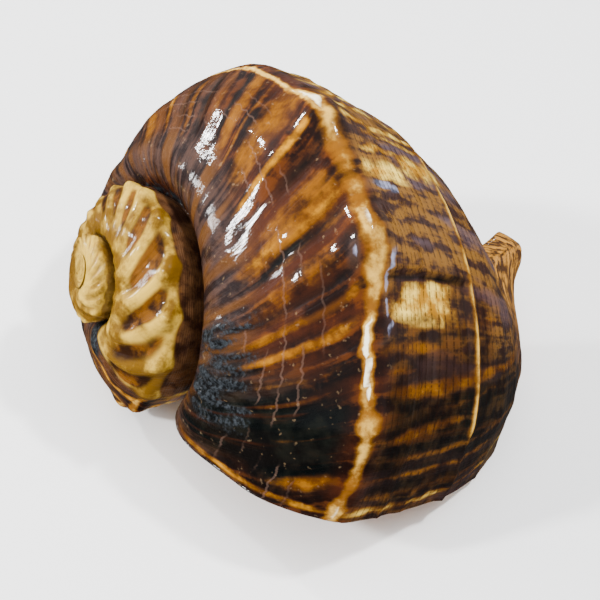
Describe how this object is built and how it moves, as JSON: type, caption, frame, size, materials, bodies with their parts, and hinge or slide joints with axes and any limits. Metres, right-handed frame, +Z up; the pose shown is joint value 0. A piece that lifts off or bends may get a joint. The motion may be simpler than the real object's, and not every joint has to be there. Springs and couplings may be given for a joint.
{
  "type": "rapa whelk shell",
  "caption": "Varnished rapa whelk sea shell lying on its mouth, with a knobbed spiral shoulder and a short canal.",
  "frame": {"origin": "middle of the shell's box on the surface it lies on", "axes": "+Z up, +X from the spire towards the canal end, -Y towards the viewer of the picture"},
  "size_m": [0.0755, 0.0705, 0.0578],
  "materials": {
    "shell": "gloss"
  },
  "bodies": {
    "root": {"shell": "shell"}
  },
  "joints": []
}
